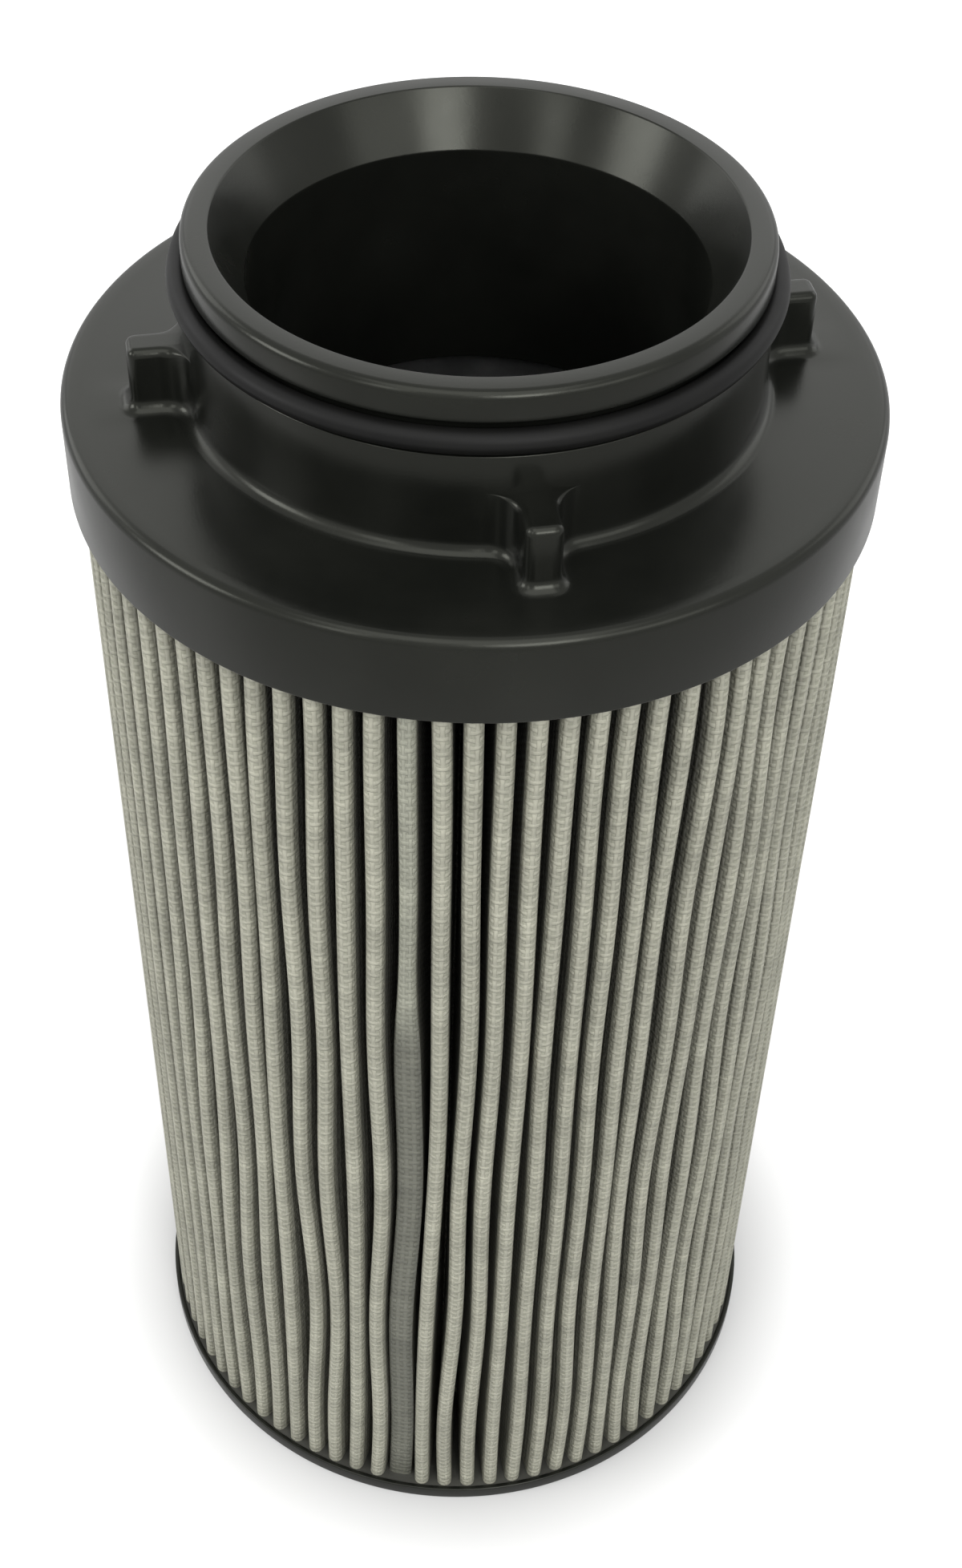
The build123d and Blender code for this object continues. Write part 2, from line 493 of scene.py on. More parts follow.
def with_bump(graph: Graph, shader: Node, height: object, depth: float, strength: float) -> None:
    """Feeds a height pattern into the shader's normal, its full height being depth metres."""
    bump = graph.node("ShaderNodeBump", Height=height, Distance=depth, Strength=strength)
    graph.fill(shader.inputs["Normal"], bump.outputs["Normal"])


def rgba(colour: Colour) -> tuple[float, float, float, float]:
    """Colour with full alpha."""
    return (*colour, 1.0)


@dataclass(frozen=True)
class CastFinish:
    """A moulded or cast finish: two near tones in slow patches, with a fine grain."""

    name: str
    colour: Colour
    second_colour: Colour
    smoothest: float
    roughest: float
    grain_scale: float
    grain_depth: float
    specular: float = 0.5
    tint: Colour = (1.0, 1.0, 1.0)

    def material(self) -> Material:
        """Builds the finish's material.

        Returns:
            The material.
        """
        material, graph, shader, place = started_material(self.name)
        grain = placed_group(graph, GRAIN, Place=place, Scale=self.grain_scale)
        tone = grain.outputs["Tone"]
        colour = graph.blended(tone, rgba(self.colour), rgba(self.second_colour))
        rough = graph.ranged(tone, 0.0, 1.0, self.smoothest, self.roughest)
        graph.feed(shader, Base_Color=colour, Roughness=rough)
        graph.feed(shader, Specular_IOR_Level=self.specular, Specular_Tint=rgba(self.tint))
        with_bump(graph, shader, grain.outputs["Height"], self.grain_depth, 0.6)
        return material


@dataclass(frozen=True)
class SheetSteelFinish:
    """Tinned sheet steel: fine rolling lines along the tube, dull patches and a soft gloss."""

    name: str
    bright: Colour
    dull: Colour
    patch_scale: float = 90.0
    line_scale: float = 2600.0
    line_stretch: float = 0.04
    line_depth: float = 0.01 * MM
    smoothest: float = 0.34
    roughest: float = 0.55

    def material(self) -> Material:
        """Builds the finish's material.

        Returns:
            The material.
        """
        material, graph, shader, place = started_material(self.name)
        patches = graph.ranged(graph.noise(place, self.patch_scale, 4.0, 0.6), 0.35, 0.65, 0.0, 1.0)
        lines = graph.noise(graph.stretched(place, self.line_stretch), self.line_scale, 2.0)
        colour = graph.blended(patches, rgba(self.bright), rgba(self.dull))
        rough = graph.ranged(patches, 0.0, 1.0, self.smoothest, self.roughest)
        graph.feed(shader, Base_Color=colour, Roughness=rough, Metallic=1.0)
        with_bump(graph, shader, lines, self.line_depth, 0.5)
        return material


@dataclass(frozen=True)
class WireMeshFinish:
    """Coated woven wire over fleece, darkened down in the folds by painted shade.

    The painted shade multiplies the colour. It falls from 1 at crest_radius to its least fade_depth further
    in. That least is foot_tone at the pack's foot and top_tone at its top. The openings between the wires
    are painted darker than the fleece behind them, as the wires' shade on it.
    """

    name: str
    wire: Colour
    opening: Colour
    wire_width: float
    crest_radius: float
    fade_depth: float
    top_tone: float
    foot_tone: float
    pitch: float = 1.4 * MM
    stain_scale: float = 90.0
    rib_scale: float = 170.0
    rib_squat: float = 3.0
    wire_roughness: float = 0.48
    opening_roughness: float = 0.85
    weave_depth: float = 0.22 * MM

    def material(self) -> Material:
        """Builds the finish's material, on the ply's own u, v.

        Returns:
            The material.
        """
        material, graph, shader, place = started_material(self.name)
        along = graph.node("ShaderNodeUVMap")
        along.uv_map = "along"
        weave = placed_group(graph, WOVEN, Along=along.outputs[0], Pitch=self.pitch, Wire=self.wire_width)
        mask = weave.outputs["Mask"]
        # Painted shade: the openings between the wires take a colour much darker than the fleece behind
        # them, as the wires' shade on it.
        colour = graph.blended(mask, rgba(self.opening), rgba(self.wire))
        radius = graph.from_axis(place)
        low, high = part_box("outer_support_mesh")
        height = graph.node("ShaderNodeSeparateXYZ", Vector=place).outputs["Z"]
        # Painted shade in the folds: the colour darkens further in from the crests, by a share that changes
        # from the pack's foot to its top.
        deepest_painted_shade = graph.ranged(height, low.z, high.z, self.foot_tone, self.top_tone)
        painted_fold_shade = graph.ranged(radius, self.crest_radius - self.fade_depth, self.crest_radius, deepest_painted_shade, 1.0)
        stain = graph.ranged(graph.noise(place, self.stain_scale, 4.0, 0.6), 0.3, 0.7, 0.82, 1.1)
        squat = graph.stretched(place, self.rib_squat)
        ribs = graph.ranged(graph.noise(squat, self.rib_scale, 3.0, 0.6), 0.3, 0.7, 0.84, 1.1)
        mottle = graph.maths("MULTIPLY", stain, ribs)
        shade = graph.vector("SCALE", colour)
        graph.feed(shade, Scale=graph.maths("MULTIPLY", painted_fold_shade, mottle))
        rough = graph.ranged(mask, 0.0, 1.0, self.opening_roughness, self.wire_roughness)
        graph.feed(shader, Base_Color=shade.outputs[0], Roughness=rough)
        with_bump(graph, shader, weave.outputs["Height"], self.weave_depth, 1.0)
        return material


@dataclass(frozen=True)
class FibreFinish:
    """Fleece or filter paper: loose fibres that cross in all directions."""

    name: str
    colour: Colour
    shadow: Colour
    fibre_scale: float
    fibre_depth: float = 0.05 * MM

    def material(self) -> Material:
        """Builds the finish's material.

        Returns:
            The material.
        """
        material, graph, shader, place = started_material(self.name)
        fibres = graph.noise(place, self.fibre_scale, 8.0, 0.75)
        share = graph.ranged(fibres, 0.35, 0.65, 0.0, 1.0)
        colour = graph.blended(share, rgba(self.shadow), rgba(self.colour))
        graph.feed(shader, Base_Color=colour, Roughness=graph.ranged(fibres, 0.0, 1.0, 0.85, 1.0))
        with_bump(graph, shader, fibres, self.fibre_depth, 0.8)
        return material


# ---- The top cap ----
@dataclass
class TopCap:
    """Flange, skirt, neck, flared mouth, sleeve and lugs in one moulding, as one closed surface.

    Heights are from the flange's top face, which lies neck_height below the top of the CAD cap.
    """

    finish: CastFinish
    neck_radius: float = 41.8 * MM
    neck_height: float = 25.0 * MM
    foot_radius: float = 2.0 * MM
    lip_radius: float = 41.25 * MM
    lip_edge: float = 1.3 * MM
    mouth_radius: float = 37.4 * MM
    mouth_depth: float = 8.0 * MM
    throat_radius: float = 32.75 * MM
    sleeve_radius: float = 35.2 * MM
    sleeve_depth: float = 20.0 * MM
    groove_floor: float = 40.0 * MM
    groove_low: float = 15.71 * MM
    groove_high: float = 20.49 * MM
    groove_edge: float = 0.25 * MM
    groove_corner: float = 0.3 * MM
    mouth_edge: float = 0.35 * MM
    throat_edge: float = 0.8 * MM
    sleeve_edge: float = 0.4 * MM
    channel_corner: float = 0.5 * MM
    skirt_inner_edge: float = 0.25 * MM
    skirt_edge: float = 0.35 * MM
    flange_under: float = -3.2 * MM
    flange_edge: float = 1.5 * MM
    channel_radius: float = 58.6 * MM
    skirt_depth: float = 14.0 * MM
    lug_count: int = 4
    lug_angle: float = math.radians(-79)
    lug_reach: float = 49.9 * MM
    lug_width: float = 5.2 * MM
    lug_height: float = 9.8 * MM
    lug_flare: float = 4.5 * MM
    lug_corner: float = 1.4 * MM
    lug_top_edge: float = 1.2 * MM
    arc_steps: int = 6
    neck_steps: int = 48
    face: float = field(init=False)
    flange_radius: float = field(init=False)

    def __post_init__(self) -> None:
        """Reads the flange's place and reach from the frame."""
        low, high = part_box("top_end_cap")
        self.face = high.z - self.neck_height
        self.flange_radius = (high.x - low.x) / 2

    def half_lug(self) -> tuple[np.ndarray, np.ndarray]:
        """Plan of a lug that points along +X, from mid-way to the next lug up to its own middle line.

        It follows the neck's circle, then the flare, an arc that touches the circle and the lug's
        side, then the side, the corner's arc and half the outer face.

        Returns:
            The points and the directions that the wall faces there, as complex numbers.
        """
        side = self.lug_width / 2
        drop = side + self.lug_flare
        reach = self.neck_radius + self.lug_flare
        start = math.asin(drop / reach)
        flare_centre = complex(math.sqrt(reach**2 - drop**2), -drop)
        corner_centre = complex(self.lug_reach - self.lug_corner, self.lug_corner - side)
        neck = heading(np.linspace(-math.pi / self.lug_count, -start, self.neck_steps, endpoint=False))
        flare = heading(np.linspace(math.pi - start, math.pi / 2, 2 * self.arc_steps))
        corner = heading(np.linspace(-math.pi / 2, 0, self.arc_steps))
        points = [
            neck * self.neck_radius,
            flare_centre + flare * self.lug_flare,
            corner_centre + corner * self.lug_corner,
            np.array([complex(self.lug_reach, -side / 3), complex(self.lug_reach, 0)]),
        ]
        return np.concatenate(points), np.concatenate([neck, -flare, corner, np.ones(2)])

    def plan(self) -> tuple[np.ndarray, np.ndarray, np.ndarray, np.ndarray]:
        """Plan of the neck and its lugs all round.

        The radius of the top edge is at most half of how far the wall stands out from the neck. The
        neck's points lie straight in from that edge, along each lug's own middle line.

        Returns:
            The wall's points, the directions it faces and the neck's points as complex numbers, and
            the top edge's radius at each.
        """
        points, facing = self.half_lug()
        points = np.concatenate([points, points[-2:0:-1].conj()])
        facing = np.concatenate([facing, facing[-2:0:-1].conj()])
        proud = points.real - np.sqrt(self.neck_radius**2 - points.imag**2)
        edge = np.clip(proud / 2, 0, self.lug_top_edge)
        aside = (points - edge * facing).imag
        neck = np.sqrt(self.neck_radius**2 - aside**2) + 1j * aside
        turns = heading(self.lug_angle + np.arange(self.lug_count) * TURN / self.lug_count)[:, None]
        lines = [(turns * line).reshape(-1) for line in (points, facing, neck)]
        return *lines, np.tile(edge, self.lug_count)

    def profile(self) -> np.ndarray:
        """Outline from the neck's wall up over the lip, down the bore and out round the skirt.

        Returns:
            Points as complex numbers, radius + i height.
        """
        top = self.neck_height
        under = self.flange_under
        corners = [
            (self.neck_radius, self.lug_height, 0),
            (self.neck_radius, self.groove_low, self.groove_edge),
            (self.groove_floor, self.groove_low, self.groove_corner),
            (self.groove_floor, self.groove_high, self.groove_corner),
            (self.lip_radius, self.groove_high, self.groove_edge),
            (self.lip_radius, top, self.lip_edge),
            (self.mouth_radius, top, self.mouth_edge),
            (self.throat_radius, top - self.mouth_depth, self.throat_edge),
            (self.throat_radius, -self.sleeve_depth, self.sleeve_edge),
            (self.sleeve_radius, -self.sleeve_depth, self.sleeve_edge),
            (self.sleeve_radius, under, self.sleeve_edge),
            (self.channel_radius, under, self.channel_corner),
            (self.channel_radius, -self.skirt_depth, self.skirt_inner_edge),
            (self.flange_radius, -self.skirt_depth, self.skirt_edge),
            (self.flange_radius, 0, self.flange_edge),
            (self.flange_radius - 2 * self.flange_edge, 0, 0),
        ]
        return rounded(corners, self.arc_steps)

    def surface(self) -> np.ndarray:
        """Points of the whole cap: rows go once round its section, columns once round its plan.

        The foot's fillet steps out from the wall by r (1 - sin a) and up by r (1 - cos a). The
        lugs' top edge steps in by e (1 - cos a) and up by e sin a, and e shrinks to nothing where a
        flare runs out on the neck. The rest is turned about the axis.

        Returns:
            Points by row, column and x, y, z.
        """
        wall, facing, neck, edge = self.plan()
        rise = np.linspace(0, math.pi / 2, self.arc_steps + 2)[:, None]
        out = self.foot_radius * (1 - np.sin(rise))
        foot = grid_points(wall + out * facing, self.foot_radius * (1 - np.cos(rise)))
        top = grid_points(
            wall - edge * (1 - np.cos(rise)) * facing,
            self.lug_height - edge * (1 - np.sin(rise)),
        )
        profile = self.profile()
        outside = profile.real > (self.sleeve_radius + self.channel_radius) / 2
        foot_line = wall + self.foot_radius * facing
        turned = np.where(outside[:, None], foot_line / abs(foot_line), neck / abs(neck))
        lathe = grid_points(profile.real[:, None] * turned, profile.imag[:, None])
        rows = np.concatenate([foot, top, lathe])
        rows[..., 2] += self.face
        return rows

    def build(self) -> None:
        """Makes the cap and puts it on the frame."""
        piece = ring_object("end_cap_moulding", self.surface(), MOULDED_CREASE)
        fit_on_frame(piece, Slot.PLASTIC, self.finish.material(), "top_end_cap")


# ---- The seal ring ----
@dataclass
class SealRing:
    """Round-section rubber ring in the neck's groove, with the faint flash line of its mould."""

    finish: CastFinish
    flash: float = 0.06 * MM
    flash_width: float = 0.12
    columns: int = 288
    section_steps: int = 40

    def build(self) -> None:
        """Makes the ring and puts it on the frame.

        The section is a circle of radius r - f that swells by the flash f where it faces straight out
        or in: r - f + f exp(-(sin a / w) squared).
        """
        low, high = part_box("neck_o_ring")
        cord_radius = (high.z - low.z) / 2
        centre = (high.x - low.x) / 2 - cord_radius
        turn = np.arange(self.section_steps) * TURN / self.section_steps
        swell = self.flash * np.exp(-((np.sin(turn) / self.flash_width) ** 2))
        section = (cord_radius - self.flash + swell) * heading(turn) + centre + 1j * (low.z + high.z) / 2
        piece = ring_object("seal_ring", lathe_points(section, self.columns), ROUND_CREASE)
        fit_on_frame(piece, Slot.RUBBER, self.finish.material(), "neck_o_ring")


# ---- The bottom cap ----
@dataclass
class BottomCap:
    """Closed disc with a low rim round the pack and a hub inside the tube."""

    finish: CastFinish
    thickness: float = 1.4 * MM
    rim_wall: float = 0.9 * MM
    rim_height: float = 3.0 * MM
    hub_radius: float = 35.2 * MM
    hub_wall: float = 2.0 * MM
    hub_height: float = 6.0 * MM
    base_edge: float = 0.4 * MM
    rim_edge: float = 0.25 * MM
    rim_inner_edge: float = 0.2 * MM
    hub_edge: float = 0.3 * MM
    columns: int = 256
    arc_steps: int = 5

    def build(self) -> None:
        """Makes the cap and puts it on the frame."""
        low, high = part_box("bottom_end_cap")
        reach = (high.x - low.x) / 2
        inner, outer = self.hub_radius - self.hub_wall, self.hub_radius
        channel = reach - self.rim_wall
        base = low.z
        floor = base + self.thickness
        rim = base + self.rim_height
        hub = base + self.hub_height
        corners = [
            (0, base, 0),
            (reach, base, self.base_edge),
            (reach, rim, self.rim_edge),
            (channel, rim, self.rim_inner_edge),
            (channel, floor, self.hub_edge),
            (outer, floor, self.hub_edge),
            (outer, hub, self.hub_edge),
            (inner, hub, self.hub_edge),
            (inner, floor, self.hub_edge),
            (0, floor, 0),
        ]
        rows = lathe_points(rounded(corners, self.arc_steps), self.columns)
        piece = ring_object("base_cap_moulding", rows, MOULDED_CREASE)
        fit_on_frame(piece, Slot.PLASTIC, self.finish.material(), "bottom_end_cap")


# ---- The pleated pack ----
@dataclass(frozen=True)
class Ply:
    """One ply of the pack: its CAD node, its thickness, what it is and how it is dressed."""

    node: str
    piece: str
    thickness: float
    slot: Slot
    finish: WireMeshFinish | FibreFinish
    crest_steps: int
    valley_steps: int


@dataclass
class PleatedPack:
    """Five plies folded together, and the adhesive between their two cut ends.

    The plies are parallel offsets of one fold line. Up the pack, each fold drifts a little to one
    side and back, as pleats do that are held only at their two ends.
    """

    plies: list[Ply]
    seam: WireMeshFinish
    radius: float = 58.4 * MM
    depth: float = 21.8 * MM
    fold_radius: float = 0.2 * MM
    valley_room: float = 0.14 * MM
    seam_angle: float = math.radians(-99)
    seam_recess: float = 1.9 * MM
    seam_top_recess: float = 1.2 * MM
    seam_step: float = 0.6
    seam_step_length: float = 0.12
    seam_width: float = 1.9 * MM
    seam_top_width: float = 0.3 * MM
    seam_crown: float = 0.4 * MM
    seam_top_crown: float = 0.95 * MM
    seam_swell: float = 0.1
    seam_swells: float = 4.5
    seam_columns: int = 13
    rows: int = 33
    twist: float = math.radians(1.8)
    modes: int = 6
    least_rounds: int = 2
    sines: int = 6
    drift: float = 0.62 * MM
    loose_side: float = math.radians(-20)
    looseness: float = 0.3
    stray: float = 0.2 * MM
    valley_share: float = 0.2
    seed: int = 11

    def __post_init__(self) -> None:
        """Works out the folds from the driving sizes and the frame, and draws the drift."""
        low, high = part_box("outer_support_mesh")
        self.stack = sum(ply.thickness for ply in self.plies)
        self.middle = self.fold_radius + self.stack / 2
        outside = self.fold_radius + self.stack
        self.crest_centre = self.radius - outside
        self.valley_centre = self.radius - self.depth + outside
        self.count = math.floor(TURN * self.valley_centre / (2 * outside + self.valley_room))
        self.pitch = TURN / self.count
        self.level = np.linspace(0, 1, self.rows)[:, None]
        self.heights = low.z + (high.z - low.z) * self.level
        rng = np.random.default_rng(self.seed)
        self.stray_size = rng.normal(size=(self.modes, self.count))
        self.wave_size = rng.normal(size=(self.modes, self.sines))
        self.wave_start = rng.uniform(0, TURN, size=(self.modes, self.sines))

    def drifted(self, turn: np.ndarray, share: float) -> np.ndarray:
        """Angles of a set of folds at each height.

        The pack is twisted evenly from its foot to its top. The sideways drift is a sum over standing
        waves up the pack, sin(n pi level) over the root of n. Each wave's size changes slowly round
        the pack, as a sum of sines of the angle. One side of the pack is looser than the other,
        so all of it is multiplied by one plus a cosine of the angle from that side.

        Args:
            turn: Angle of each fold in radians.
            share: How much of the drift these folds take.

        Returns:
            Angles by row and fold.
        """
        shift = np.zeros((self.rows, len(turn)))
        for mode in range(self.modes):
            rounds = np.arange(self.sines)[:, None] + self.least_rounds + 2 * mode
            waves = self.wave_size[mode][:, None] * np.sin(rounds * turn + self.wave_start[mode][:, None])
            rise = np.sin((mode + 1) * math.pi * self.level)
            shift += rise * waves.sum(axis=0) / math.sqrt(self.sines * (mode + 1))
        shift *= 1 + self.looseness * np.cos(turn - self.loose_side)
        return turn + self.twist * (self.level - 0.5) + share * self.drift * shift / self.radius

    def strayed(self, turn: np.ndarray) -> np.ndarray:
        """Angles of the crests, each straying on its own besides the drift, by waves of size 1 / n.

        Args:
            turn: Angle of each crest in radians.

        Returns:
            Angles by row and crest.
        """
        shift = sum(
            np.sin((mode + 1) * math.pi * self.level) * self.stray_size[mode][1:] / (mode + 1)
            for mode in range(self.modes)
        )
        return self.drifted(turn, 1.0) + self.stray * shift / self.radius

    def leg_facing(self, crest: np.ndarray, crest_round: float, valley: np.ndarray, side: int) -> np.ndarray:
        """Direction that the outside of a leg faces.

        The leg is the straight line that touches both folds' rounds and crosses between them, so it
        turns from the line of centres by the arc cosine of the sum of the radii over the distance.

        Args:
            crest: Centres of the crests' rounds.
            crest_round: Radius of those rounds.
            valley: Centres of the valleys' rounds.
            side: 1 for the leg after the crest, -1 for the leg before it.

        Returns:
            Angles in radians.
        """
        span = valley - crest
        return np.angle(span) - side * np.arccos((crest_round + self.middle) / np.abs(span))

    def fold_line(self, offset: float, crest_steps: int, valley_steps: int) -> np.ndarray:
        """The fold line from one cut end to the other, offset outwards from the stack's middle.

        Args:
            offset: Offset in metres, outwards being positive.
            crest_steps: Steps round a crest.
            valley_steps: Steps round a valley.

        Returns:
            Points x + iy by row and place along the line.
        """
        number = np.arange(self.count)
        crest_turn = self.strayed(self.seam_angle + number[1:] * self.pitch)
        valley_turn = self.drifted(self.seam_angle + (number + 0.5) * self.pitch, self.valley_share)
        crest = self.crest_centre * heading(crest_turn)
        valley = self.valley_centre * heading(valley_turn)
        ends = self.seam_ends()
        before = self.leg_facing(crest, self.middle, valley[:, :-1], -1)
        after = self.leg_facing(crest, self.middle, valley[:, 1:], 1)
        first = self.leg_facing(ends[0], 0, valley[:, :1], 1)
        last = self.leg_facing(ends[1], 0, valley[:, -1:], -1)
        start = np.concatenate([first, after], axis=1)[..., None]
        sweep = wrapped(np.concatenate([before, last], axis=1)[..., None] - start)
        share = np.linspace(0, 1, valley_steps + 1)
        valleys = valley[..., None] - (self.middle - offset) * heading(start + sweep * share)
        low = wrapped(before - crest_turn)[..., None]
        high = wrapped(after - crest_turn)[..., None]
        share = np.linspace(0, 1, crest_steps + 1)
        around = crest_turn[..., None] + low + (high - low) * share
        crests = crest[..., None] + (self.middle + offset) * heading(around)
        folds = np.concatenate([valleys[:, :-1], crests], axis=2).reshape(self.rows, -1)
        open_ends = [ends[0] + offset * heading(first), ends[1] + offset * heading(last)]
        return np.concatenate([open_ends[0], folds, valleys[:, -1], open_ends[1]], axis=1)

    def seam_rise(self) -> np.ndarray:
        """How far the seam has closed up at each row: 0 where its ends lie low and apart, 1 near the top.

        Between the two it follows the smooth step 3 t squared - 2 t cubed.

        Returns:
            A value for each row, as a column.
        """
        rise = np.clip((self.level - self.seam_step) / self.seam_step_length, 0, 1)
        return rise**2 * (3 - 2 * rise)

    def seam_ends(self) -> tuple[np.ndarray, np.ndarray]:
        """Middle of the stack at the two cut ends, which lie a little in from the crests.

        Returns:
            The ends after and before the seam, as complex numbers by row.
        """
        step = self.seam_rise()
        aside = (self.seam_width + (self.seam_top_width - self.seam_width) * step + self.stack) / 2
        recess = self.seam_recess + (self.seam_top_recess - self.seam_recess) * step
        radius = np.hypot(self.radius - recess, aside)
        lean = np.arcsin(aside / radius)
        turn = self.drifted(np.array([self.seam_angle]), 1.0)
        return radius * heading(turn + lean), radius * heading(turn - lean)

    def walls(self, outer: np.ndarray, inner: np.ndarray) -> tuple[np.ndarray, np.ndarray, np.ndarray]:
        """Closed shell between two lines that run up the pack.

        Args:
            outer: Outer line by row and place.
            inner: Inner line by row and place, as long as the outer one.

        Returns:
            Points, faces, and each point's u along the line and v up the pack.
        """
        loop = np.concatenate([outer, inner[:, ::-1]], axis=1)
        points = grid_points(loop, self.heights)
        faces = grid_faces(self.rows, loop.shape[1], False, True)
        size = outer.shape[1]
        near = np.arange(size - 1)
        far = 2 * size - 1 - near
        cover = np.stack([near, near + 1, far - 1, far], axis=1)
        faces = np.concatenate([faces, cover[:, ::-1], cover + (self.rows - 1) * 2 * size])
        travel = np.abs(np.diff(outer[self.rows // 2])).cumsum()
        travel = np.concatenate([[0.0], travel])
        along_line = np.concatenate([travel, travel[::-1]])
        u = np.broadcast_to(along_line, loop.shape)
        v = np.broadcast_to(self.heights, loop.shape)
        return points.reshape(-1, 3), faces, np.stack([u, v], axis=-1).reshape(-1, 2)

    def build_ply(self, ply: Ply, outer_offset: float) -> None:
        """Makes one ply and puts it on the frame.

        Args:
            ply: The ply.
            outer_offset: Offset of its outside from the stack's middle.
        """
        outer = self.fold_line(outer_offset, ply.crest_steps, ply.valley_steps)
        inner = self.fold_line(outer_offset - ply.thickness, ply.crest_steps, ply.valley_steps)
        points, faces, along = self.walls(outer, inner)
        piece = mesh_object(ply.piece, points, faces, FOLDED_CREASE, along)
        fit_on_frame(piece, ply.slot, ply.finish.material(), ply.node)

    def build_seam(self) -> None:
        """Makes the adhesive between the cut ends, a wedge with a crowned, uneven face over both.

        Its face runs from the outside of one end to the outside of the other. It is crowned by
        c (1 - (2 s - 1) to the fourth), and c swells and shrinks a little up the pack.
        """
        outside = self.fold_line(self.stack / 2, 1, 1)
        inside = self.fold_line(-self.stack / 2, 1, 1)
        near, far = outside[:, :1], outside[:, -1:]
        deep, far_deep = inside[:, 1:2], inside[:, -2:-1]
        share = np.linspace(0, 1, self.seam_columns)
        height = self.seam_crown + (self.seam_top_crown - self.seam_crown) * self.seam_rise()
        height = height * (1 + self.seam_swell * np.sin(self.seam_swells * TURN * self.level))
        crown = height * (1 - (2 * share - 1) ** 4)
        face = near + (far - near) * share
        face = face * (1 + crown / np.abs(face))
        back = deep + (far_deep - deep) * share
        points, faces, along = self.walls(face, back)
        piece = mesh_object("seam_adhesive", points, faces, FOLDED_CREASE, along)
        fit_on_frame(piece, Slot.ADHESIVE, self.seam.material(), "seam_bead")

    def build(self) -> None:
        """Makes the plies from the outside in, then the seam."""
        offset = self.stack / 2
        for ply in self.plies:
            self.build_ply(ply, offset)
            offset -= ply.thickness
        self.build_seam()


# ---- Nodes that keep their CAD solids ----
def dress_node(node: str, material: Material) -> None:
    """Gives a CAD node that stays in sight a better material.

    Args:
        node: The node's name.
        material: The material that it wears.
    """
    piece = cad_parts[node]
    if not piece.material_slots:
        piece.data.materials.append(None)
    for place in piece.material_slots:
        place.material = material
    log.info("%s: keeps its solid", node)


# ---- Studio ----
@dataclass
class SoftLamp:
    """A square or oblong soft light aimed at the middle of the element.

    Its angles are in degrees and its power in watts.
    """

    name: str
    azimuth: float
    elevation: float
    distance: float
    width: float
    height: float
    power: float

    def build(self, aim: Vector) -> None:
        """Puts the lamp round the aim: azimuth 0 is the camera's side, elevation is above level.

        Args:
            aim: The point that the lamp looks at.
        """
        turn, rise = math.radians(self.azimuth), math.radians(self.elevation)
        away = Vector((math.sin(turn) * math.cos(rise), -math.cos(turn) * math.cos(rise), math.sin(rise)))
        data = bpy.data.lights.new(self.name, "AREA")
        data.shape = "RECTANGLE"
        data.size, data.size_y = self.width, self.height
        data.energy = self.power
        lamp = bpy.data.objects.new(self.name, data)
        lamp.location = aim + away * self.distance
        lamp.rotation_euler = away.to_track_quat("Z", "Y").to_euler()
        bpy.context.scene.collection.objects.link(lamp)


def how_seen(graph: Graph) -> tuple[Socket, Socket]:
    """Tells what looks at a surface, and is 0 for both where the surface only lights others.

    Args:
        graph: The graph to add the nodes to.

    Returns:
        1 where the camera sees it, and 1 where it is seen in a mirror or through glass.
    """
    path = graph.node("ShaderNodeLightPath")
    mirrored = graph.maths("MAXIMUM", path.outputs["Is Glossy Ray"], path.outputs["Is Transmission Ray"])
    return path.outputs["Is Camera Ray"], mirrored


